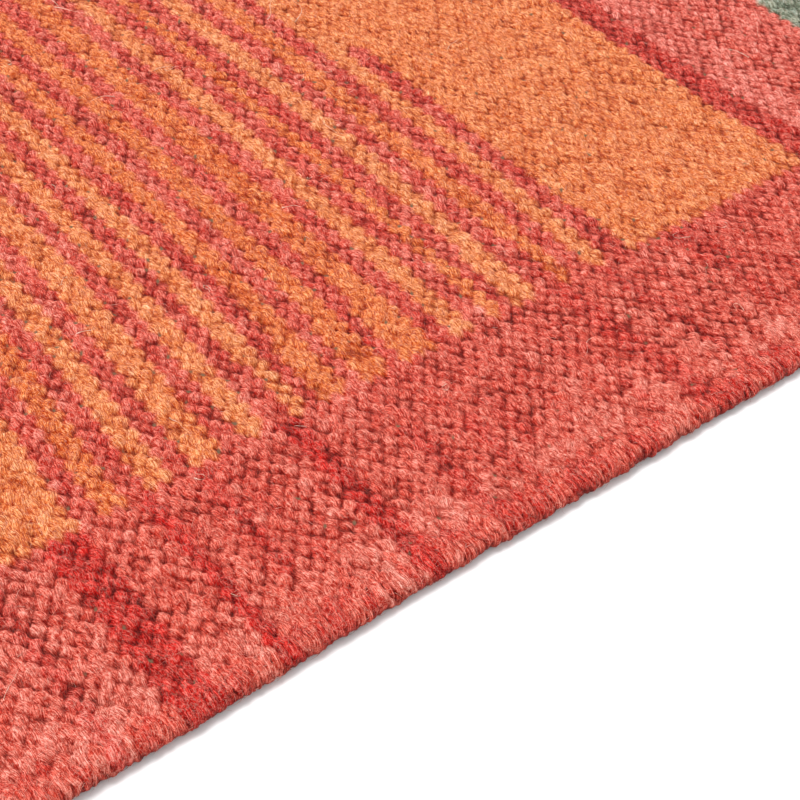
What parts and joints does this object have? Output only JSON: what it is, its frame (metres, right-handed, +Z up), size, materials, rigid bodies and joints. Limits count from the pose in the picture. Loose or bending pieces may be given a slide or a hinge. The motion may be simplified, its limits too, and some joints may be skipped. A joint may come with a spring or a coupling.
{
  "type": "kilim rug",
  "caption": "Small flat-woven wool kilim lying flat, coral border round orange blocks and thin red stripes, with rounded woven selvedges and plain ends.",
  "frame": {"origin": "middle of the flat underside, on the surface that the rug lies on", "axes": "+X along the warps and the selvedges, +Y along the wefts from the near selvedge to the far one, +Z up out of the face"},
  "size_m": [0.6019, 0.401, 0.0055],
  "materials": {
    "wool": "matt hand-spun wool, weft-faced plain weave"
  },
  "bodies": {
    "root": {"kilim_cloth": "wool"}
  },
  "joints": []
}
